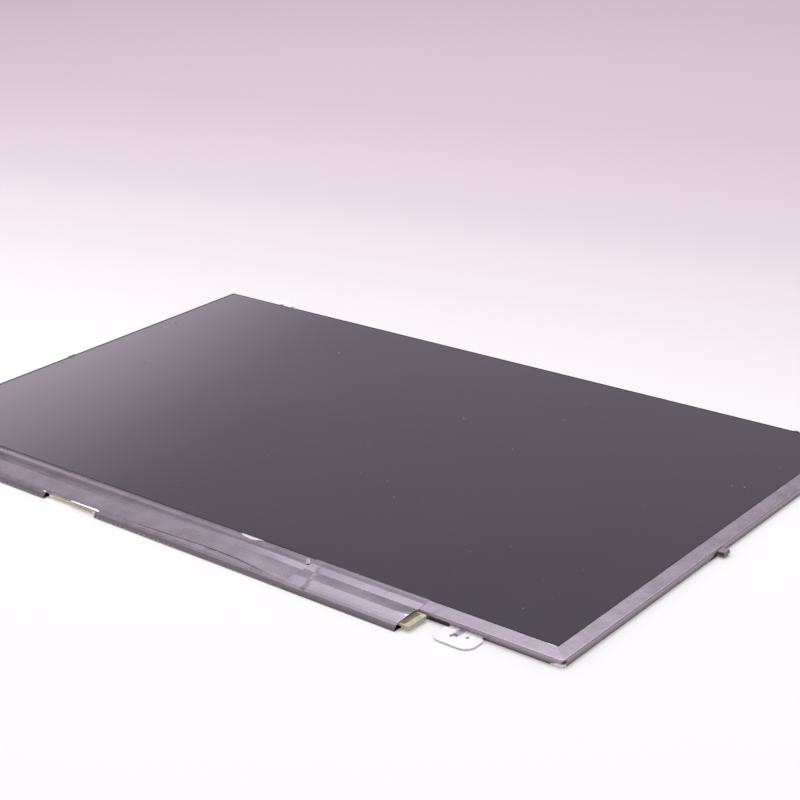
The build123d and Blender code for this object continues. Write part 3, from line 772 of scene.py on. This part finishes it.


# The two bands differ only in painted light and shade on their sides: each side is toned for the light that
# falls on it, and darkens towards the table.
right_band = tape_finish(
    "right_band",
    tones=((0.045, 0.036, 0.047), (0.075, 0.06, 0.078)),
    painted_side_tones=((0.05, 0.036, 0.043), (0.33, 0.255, 0.305)),
    fold=0.0028,
    patch=0.006,
    roughness=(0.24, 0.3),
    grain=0.003,
    relief=0.00002,
    gloss_index=1.8,
)
lower_band = tape_finish(
    "lower_band",
    tones=((0.05, 0.04, 0.052), (0.08, 0.064, 0.082)),
    painted_side_tones=((0.008, 0.004, 0.006), (0.40, 0.325, 0.38)),
    fold=0.0028,
    patch=0.006,
    roughness=(0.24, 0.3),
    grain=0.003,
    relief=0.00002,
    gloss_index=1.76,
)
band_low, band_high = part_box("right_edge_tape")
corner_radius = 0.0020
corner_x = band_high.x - corner_radius
corner_y = band_low.y + corner_radius
board_end = board_high.x
band_step = 0.0014
band_ripple = 0.00002
wrinkle = 0.00010


def corner_pull(x, y):
    """Draws the points of the near corner inwards, so that the corner is round in plan."""
    across = x - corner_x
    along = corner_y - y
    if across <= 0.0 or along <= 0.0:
        return Vector((0.0, 0.0, 0.0))
    share = max(across, along) / math.hypot(across, along) - 1.0
    return Vector((across * share, -along * share, 0.0))


def band_shift(x, y, z):
    """Faint waves on the top of the bands and wrinkles beside the board, fading out down the sides."""
    on_top = min(1.0, max(0.0, (z - band_high.z + 0.0010) / 0.0005))
    ripple = band_ripple * wave(x, y, 0.012, 0.012, 1.5)
    wrinkles = wrinkle * hump(x - board_end, 0.008) * wave(x, y, 0.0016, 0.005, 5.5)
    return corner_pull(x, y) + Vector((0.0, 0.0, on_top * (ripple + wrinkles)))


corner_cuts = []
cut_count = 8
for cut in range(cut_count):
    inset = corner_radius * (cut + 1) / cut_count
    corner_cuts.append((Vector((band_high.x - inset, 0.0, 0.0)), Vector((1.0, 0.0, 0.0))))
    corner_cuts.append((Vector((0.0, band_low.y + inset, 0.0)), Vector((0.0, 1.0, 0.0))))
bands = (("right_edge_tape", right_band), ("lower_tape_right", lower_band), ("lower_tape_left", lower_band))
for band, material in bands:
    strip = creased(band, (band_step, band_step), band_shift, corner_cuts)
    piece_from([strip], f"{band}_film", material, "edge_tape", band)

# Near corner of the moulded frame: the frame itself, with its outer corner rounded as the tape on it is.
# The tape lies on it without a gap.
rounded_frame = bmesh.new()
rounded_frame.from_mesh(nodes["moulded_frame"].data)
bmesh.ops.remove_doubles(rounded_frame, verts=rounded_frame.verts, dist=0.000001)
for vertex in rounded_frame.verts:
    vertex.co += corner_pull(vertex.co.x, vertex.co.y)
piece_from([rounded_frame], "rounded_frame", white_moulding, "white_moulding", "moulded_frame")

# Left and top edge tapes: narrow strips of the same black tape, folded round the frame's slim lips.
# They show only as a dark line beside the screen.
dark_tape = tape_finish(
    "dark_tape",
    tones=((0.03, 0.025, 0.03), (0.05, 0.04, 0.05)),
    painted_side_tones=((0.04, 0.032, 0.036), (0.06, 0.05, 0.055)),
    fold=0.0028,
    patch=0.012,
    roughness=(0.38, 0.5),
    grain=0.002,
    relief=0.00003,
    gloss_index=1.5,
)
coat(dark_tape, "left_edge_tape", "top_edge_tape")


# Torn film: bits of bare film at the near corner, where the black face of the tape has worn and torn off.
# One hangs round the corner's foot. A thin pale sliver along the edge of the glass is a painted glint.
def shred(rows, thickness):
    """Thin torn strip over a net of points, as a closed mesh."""
    shape = bmesh.new()
    net = [[shape.verts.new(point) for point in row] for row in rows]
    for row, following in zip(net, net[1:]):
        for index in range(len(row) - 1):
            shape.faces.new((row[index], row[index + 1], following[index + 1], following[index]))
    bmesh.ops.recalc_face_normals(shape, faces=shape.faces)
    bmesh.ops.solidify(shape, geom=shape.faces[:], thickness=thickness)
    return shape


def corner_point(along, stand):
    """Point on the outline at the near corner, along it from the start of the rounding, stood off it."""
    angle = max(0.0, along) / corner_radius - math.pi / 2
    reach = corner_radius + stand
    x = corner_x + min(0.0, along) + reach * math.cos(angle)
    return x, corner_y + reach * math.sin(angle)


bare_film_and_glint = finish(
    "bare_film_and_glint",
    tones=((0.55, 0.48, 0.53), (0.82, 0.76, 0.80)),
    patch=0.0012,
    roughness=(0.3, 0.45),
    grain=0.0004,
    relief=0.00003,
)
shred_thickness = 0.00003
glass_low, glass_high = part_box("colour_filter_glass")
screen_low = glass_low.y
tear_start = -0.0032
tear_length = 0.0060
tear_height = 0.0010
torn_corner = []
for step in range(15):
    along = tear_start + tear_length * step / 14
    height = 0.0004 + tear_height * hump(along - 0.0006, 0.0040)
    row = []
    for level in range(4):
        ragged = noise.noise(Vector((step * 0.7, level * 0.9, 2.5)))
        x, y = corner_point(along, 0.00008 + 0.00006 * ragged)
        row.append((x, y, 0.0001 + height * level / 3 * (1.0 + 0.4 * ragged)))
    torn_corner.append(row)
# Painted glint: a thin pale sliver along the glass edge by the near corner.
glint_start = glass_high.x - 0.0046
glint_length = 0.0044
glint_width = 0.0003
glint_edge = screen_low - 0.00005
corner_glint = []
for step in range(9):
    x = glint_start + glint_length * step / 8
    ragged = noise.noise(Vector((step * 0.8, 0.3, 1.1)))
    width = glint_width * (0.5 + hump(step - 4.0, 5.0)) + 0.00008 * ragged
    inner_point = (x, glint_edge, band_high.z + 0.00004)
    outer_point = (x, glint_edge - width, band_high.z + 0.00001)
    corner_glint.append([inner_point, outer_point])
piece_from(
    [shred(rows, shred_thickness) for rows in (torn_corner, corner_glint)],
    "torn_corner_film_and_glint",
    bare_film_and_glint,
    "edge_tape",
)

# Dark sheets on the band sides. At the near corner the tape gapes and the black adhesive behind it shows.
# Beside the side tab and beside the board's end the dark sheets are painted shadow: the tab's shadow on
# the band's side, and the shade between the band and the board's end.
dark_sheet_stand = 0.00003
dark_sheet_foot = 0.0001
corner_gap_start = 0.0010
corner_gap_length = 0.0026
corner_gap_level = 0.0019
corner_gap = []
for step in range(9):
    along = corner_gap_start + corner_gap_length * step / 8
    half_height = 0.00008 + 0.00042 * hump(step - 4.0, 4.6)
    ragged = noise.noise(Vector((step * 0.7, 0.4, 6.5)))
    x, y = corner_point(along, dark_sheet_stand)
    middle = corner_gap_level + 0.0002 * ragged
    corner_gap.append([(x, y, middle - half_height), (x, y, middle + half_height)])
# Painted shadow of the side tab on the band's side.
tab_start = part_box("side_tab_right")[0].y
tab_shadow_start = tab_start - 0.0056
tab_shadow_length = 0.0054
tab_shadow_rise = 0.0019
tab_face = band_high.x + dark_sheet_stand
tab_painted_shadow = []
for step in range(9):
    y = tab_shadow_start + tab_shadow_length * step / 8
    height = 0.0003 + tab_shadow_rise * (step / 8) ** 1.5
    ragged = noise.noise(Vector((step * 0.8, 0.2, 9.5)))
    tab_painted_shadow.append([(tab_face, y, dark_sheet_foot), (tab_face, y, height * (1.0 + 0.2 * ragged))])
# Painted shade on the band's side between the board's end and the bracket.
side_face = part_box("lower_tape_right")[0].y - dark_sheet_stand
board_shadow_start = board_end + 0.0002
board_shadow_length = bracket_low.x - board_end + 0.0010
board_shadow_height = 0.0016
board_end_painted_shadow = []
for step in range(11):
    x = board_shadow_start + board_shadow_length * step / 10
    ragged = noise.noise(Vector((step * 0.6, 0.5, 4.5)))
    board_end_painted_shadow.append([(x, side_face, dark_sheet_foot), (x, side_face, board_shadow_height + 0.0003 * ragged)])
dark_gaps_and_shadows = [shred(rows, shred_thickness) for rows in (corner_gap, tab_painted_shadow, board_end_painted_shadow)]
piece_from(dark_gaps_and_shadows, "tape_gaps_and_painted_shadows", black_adhesive, "black_adhesive")

# Wraps and cover: black tape folded round the board's outer edge on each side of the connector, and a long
# cover laid over them and over the driver films. The cover lies in waves and domes towards its right end.
# The side tones of these tapes are painted light and shade; on the board tape they darken towards the
# table.
board_tape = tape_finish(
    "board_tape",
    tones=((0.04, 0.032, 0.042), (0.065, 0.052, 0.067)),
    painted_side_tones=((0.015, 0.010, 0.013), (0.27, 0.22, 0.255)),
    fold=0.0022,
    patch=0.01,
    roughness=(0.24, 0.3),
    grain=0.004,
    relief=0.00002,
    gloss_index=1.8,
)
wrap_tape = tape_finish(
    "wrap_tape",
    tones=((0.04, 0.032, 0.04), (0.06, 0.048, 0.06)),
    painted_side_tones=((0.16, 0.126, 0.143), (0.16, 0.126, 0.143)),
    fold=0.0022,
    patch=0.005,
    roughness=(0.26, 0.34),
    grain=0.0016,
    relief=0.00004,
    gloss_index=1.8,
)
board_tape_tree = board_tape.node_tree
board_tape_shader = board_tape_tree.nodes["Principled BSDF"]
# Painted sheen: the tape reflects more towards the board's right end.
painted_sheen = mapped(board_tape_tree, place_axes(board_tape_tree)["X"], (-0.12, 0.05), (0.28, 0.58))
board_tape_tree.links.new(painted_sheen, board_tape_shader.inputs["Specular IOR Level"])
coat(wrap_tape, "board_wrap_right", "board_wrap_left")
tape_step = (0.0015, 0.0007)
cover_low, cover_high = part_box("board_cover_tape")
edge_curl = 0.00012
curl_reach = 0.0010
cover_ripple = 0.00003
dome_line = board_high.y - 0.0018
dome_reach = 0.0080
cover_dome = 0.00042
dome_place = cover_high.x - 0.025
dome_length = 0.033
shallow_sink = 0.00003
deep_sink = 0.00008
sink_start = -0.035
sink_run = 0.020


def cover_shift(x, y, z):
    """Long waves over the cover, a dome towards its right end and a curl along its inner edge."""
    curl = edge_curl * max(0.0, 1.0 - (cover_high.y - y) / curl_reach) ** 2
    pressed = min(1.0, (y - cover_low.y) / curl_reach)
    near_end = min(1.0, max(0.0, (x - sink_start) / sink_run))
    sink = (1.0 - pressed) * (shallow_sink + (deep_sink - shallow_sink) * near_end)
    ripple = cover_ripple * pressed * (1.0 + wave(x, y, 0.030, 0.008, 2.5)) - sink
    dome = cover_dome * hump(y - dome_line, dome_reach) * hump(x - dome_place, dome_length)
    return Vector((0.0, 0.0, curl + ripple + dome))


cover = creased("board_cover_tape", tape_step, cover_shift)
piece_from([cover], "board_cover_film", board_tape, "board_tape", "board_cover_tape")

# Ledge tape: a narrow strip of black tape between the screen and the cover, stuck to the glass ledge over
# the driver films. Along the films' bend it sinks into a groove, where its reflection is turned down as
# painted shade.
ledge_tape = tape_finish(
    "ledge_tape",
    tones=((0.035, 0.028, 0.036), (0.055, 0.044, 0.056)),
    painted_side_tones=((0.035, 0.028, 0.036), (0.055, 0.044, 0.056)),
    fold=0.0022,
    patch=0.01,
    roughness=(0.26, 0.34),
    grain=0.002,
    relief=0.00003,
    gloss_index=1.8,
)
# Painted shade: the tape's reflection is turned down across the groove.
groove_start = screen_low - 0.0022
groove_full = screen_low - 0.0030
ledge_tree = ledge_tape.node_tree
ledge_shader = ledge_tree.nodes["Principled BSDF"]
painted_groove_shade = mapped(ledge_tree, place_axes(ledge_tree)["Y"], (groove_full, groove_start), (0.22, 0.5))
ledge_tree.links.new(painted_groove_shade, ledge_shader.inputs["Specular IOR Level"])
ledge_ripple = 0.00004


def ledge_shift(x, y, z):
    """Faint waves on the ledge strip, none where the cover laps it."""
    clear_of_cover = min(1.0, max(0.0, (y - cover_high.y) / curl_reach))
    return Vector((0.0, 0.0, clear_of_cover * ledge_ripple * wave(x, y, 0.008, 0.002, 3.5)))


ledge = creased("ledge_tape", tape_step, ledge_shift)
piece_from([ledge], "ledge_film", ledge_tape, "board_tape", "ledge_tape")

# End tape: a second black tape, wrapped round the board's right end over the cover. Its left end is loose,
# a lapped layer crosses it, and it bulges over the end of the board.
lap_height = 0.00026
lap_slope = 0.00060
lap_place = Vector((end_low.x + 0.0055, board_high.y + 0.0010, 0.0))
lap_normal = Vector((0.94, 0.33, 0.0))
loose_tilt = 0.025
end_dome = 0.00022
end_bulge = 0.00016


def end_shift(x, y, z):
    """Tilted loose end on the left, a lap across it, then a dome along the tape that bulges at its end."""
    on_top = min(1.0, max(0.0, (z - 0.0017) / 0.0004))
    past_lap = (Vector((x, y, 0.0)) - lap_place).dot(lap_normal)
    lap = min(1.0, max(0.0, 0.5 + past_lap / lap_slope / 2))
    loose = (1.0 - lap) * loose_tilt * max(0.0, min(0.0115, y - board_low.y + 0.0010))
    dome = end_dome * hump(y - dome_line, dome_reach)
    bulge = end_bulge * hump(math.hypot((x - end_high.x + 0.0020) / 1.5, y - dome_line + 0.0012), 0.0036)
    ripple = cover_ripple * wave(x, y, 0.020, 0.006, 8.5)
    return Vector((0.0, 0.0, on_top * (loose + lap * (lap_height + dome + bulge) + ripple)))


lap_cuts = [(lap_place + lap_normal * offset, lap_normal) for offset in (-lap_slope, lap_slope)]
end_cover = creased("board_end_tape", tape_step, end_shift, lap_cuts)
piece_from([end_cover], "board_end_film", board_tape, "board_tape", "board_end_tape")

# Torn and lifted bits of the board tapes: a flake of bare film beside the glass, and the loose end of a
# narrow strip that stands up from the ledge, painted pale as a highlight.
flake_start = 0.0268
flake_length = 0.0112
flake_width = 0.0012
flake_lift = 0.00012
flake_edge = screen_low - 0.00004
torn_sliver = []
for step in range(13):
    x = flake_start + flake_length * step / 12
    ragged = noise.noise(Vector((step * 0.9, 0.7, 3.3)))
    width = flake_width * hump(step - 5.0, 8.0) + 0.00012 * (1.0 + ragged)
    lift = flake_lift * hump(step - 5.0, 6.0)
    torn_sliver.append(
        [
            (x, flake_edge, band_high.z + 0.00003),
            (x, flake_edge - width / 2, band_high.z - width * 0.2 + lift),
            (x, flake_edge - width, band_high.z - width * 0.4 + lift),
        ]
    )
piece_from([shred(torn_sliver, shred_thickness)], "torn_ledge_film", bare_film_and_glint, "board_tape")

# Pale tape: on the lifted end, its pale tone is a painted highlight.
pale_tape = finish(
    "pale_tape",
    tones=((0.26, 0.21, 0.25), (0.40, 0.34, 0.385)),
    patch=0.0012,
    roughness=(0.3, 0.4),
    grain=0.0004,
    relief=0.00001,
)
ledge_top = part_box("ledge_tape")[1].z - 0.00039
lifted_start = Vector((0.0615, screen_low - 0.0009, ledge_top + 0.00026))
lifted_run = Vector((0.0026, -0.0030, 0.0))
lifted_fall = 0.00012
left_side = Vector((-0.0006, -0.0005, -0.00012))
crown = Vector((0.0, 0.0, 0.00006))
right_side = Vector((0.0007, 0.0005, 0.0))
lifted_end = []
for step in range(7):
    share = step / 6
    middle = lifted_start + lifted_run * share - Vector((0.0, 0.0, lifted_fall * share * share))
    lifted_end.append([middle + side for side in (left_side, crown, right_side)])
piece_from([shred(lifted_end, shred_thickness)], "lifted_tape_end", pale_tape, "board_tape")

# Marks along the wraps: a row of small pressed dots where the tape was rolled on over the board's outer
# edge, left of the connector and right of it.
wrap_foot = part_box("board_wrap_right")[0].y
dot_level = 0.00055
dot_line = wrap_foot + 0.00006
row_ends = (-0.0945, -0.0725, -0.0343, 0.0118)
dot_rows = bpy.data.meshes.new("dot_rows")
dot_rows.from_pydata([(x, dot_line, dot_level) for x in row_ends], [(0, 1), (2, 3)], [])
dot_tree = bpy.data.node_groups.new("wrap_dots", "GeometryNodeTree")
dot_tree.interface.new_socket("Geometry", in_out="INPUT", socket_type="NodeSocketGeometry")
dot_sockets = add_inputs(
    dot_tree,
    [
        ("Pitch", "NodeSocketFloat", 0.0026),
        ("Dot Length", "NodeSocketFloat", 0.00055),
        ("Dot Height", "NodeSocketFloat", 0.00035),
        ("Dot Stand", "NodeSocketFloat", 0.00012),
    ],
)
dot_tree.interface.new_socket("Geometry", in_out="OUTPUT", socket_type="NodeSocketGeometry")
dot_in = dot_tree.nodes.new("NodeGroupInput")
dot_out = dot_tree.nodes.new("NodeGroupOutput")
dot_lines = dot_tree.nodes.new("GeometryNodeMeshToCurve")
dot_tree.links.new(dot_in.outputs["Geometry"], dot_lines.inputs["Mesh"])
dot_places = dot_tree.nodes.new("GeometryNodeCurveToPoints")
dot_places.mode = "LENGTH"
dot_tree.links.new(dot_lines.outputs["Curve"], dot_places.inputs["Curve"])
dot_tree.links.new(dot_in.outputs["Pitch"], dot_places.inputs["Length"])
dot = dot_tree.nodes.new("GeometryNodeMeshIcoSphere")
dot.inputs["Radius"].default_value = 1.0
dot.inputs["Subdivisions"].default_value = 2
dot_size = dot_tree.nodes.new("ShaderNodeCombineXYZ")
dot_tree.links.new(dot_in.outputs["Dot Length"], dot_size.inputs["X"])
dot_tree.links.new(dot_in.outputs["Dot Stand"], dot_size.inputs["Y"])
dot_tree.links.new(dot_in.outputs["Dot Height"], dot_size.inputs["Z"])
dots = dot_tree.nodes.new("GeometryNodeInstanceOnPoints")
dot_tree.links.new(dot_places.outputs["Points"], dots.inputs["Points"])
dot_tree.links.new(dot.outputs["Mesh"], dots.inputs["Instance"])
dot_tree.links.new(dot_size.outputs["Vector"], dots.inputs["Scale"])
dot_real = dot_tree.nodes.new("GeometryNodeRealizeInstances")
dot_tree.links.new(dots.outputs["Instances"], dot_real.inputs["Geometry"])
dot_paint = dot_tree.nodes.new("GeometryNodeSetMaterial")
dot_paint.inputs["Material"].default_value = pale_tape
dot_tree.links.new(dot_real.outputs["Geometry"], dot_paint.inputs["Geometry"])
dot_tree.links.new(dot_paint.outputs["Geometry"], dot_out.inputs["Geometry"])
wrap_dots = grown("wrap_dots", dot_rows, dot_tree, dot_sockets)
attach(wrap_dots, "root")
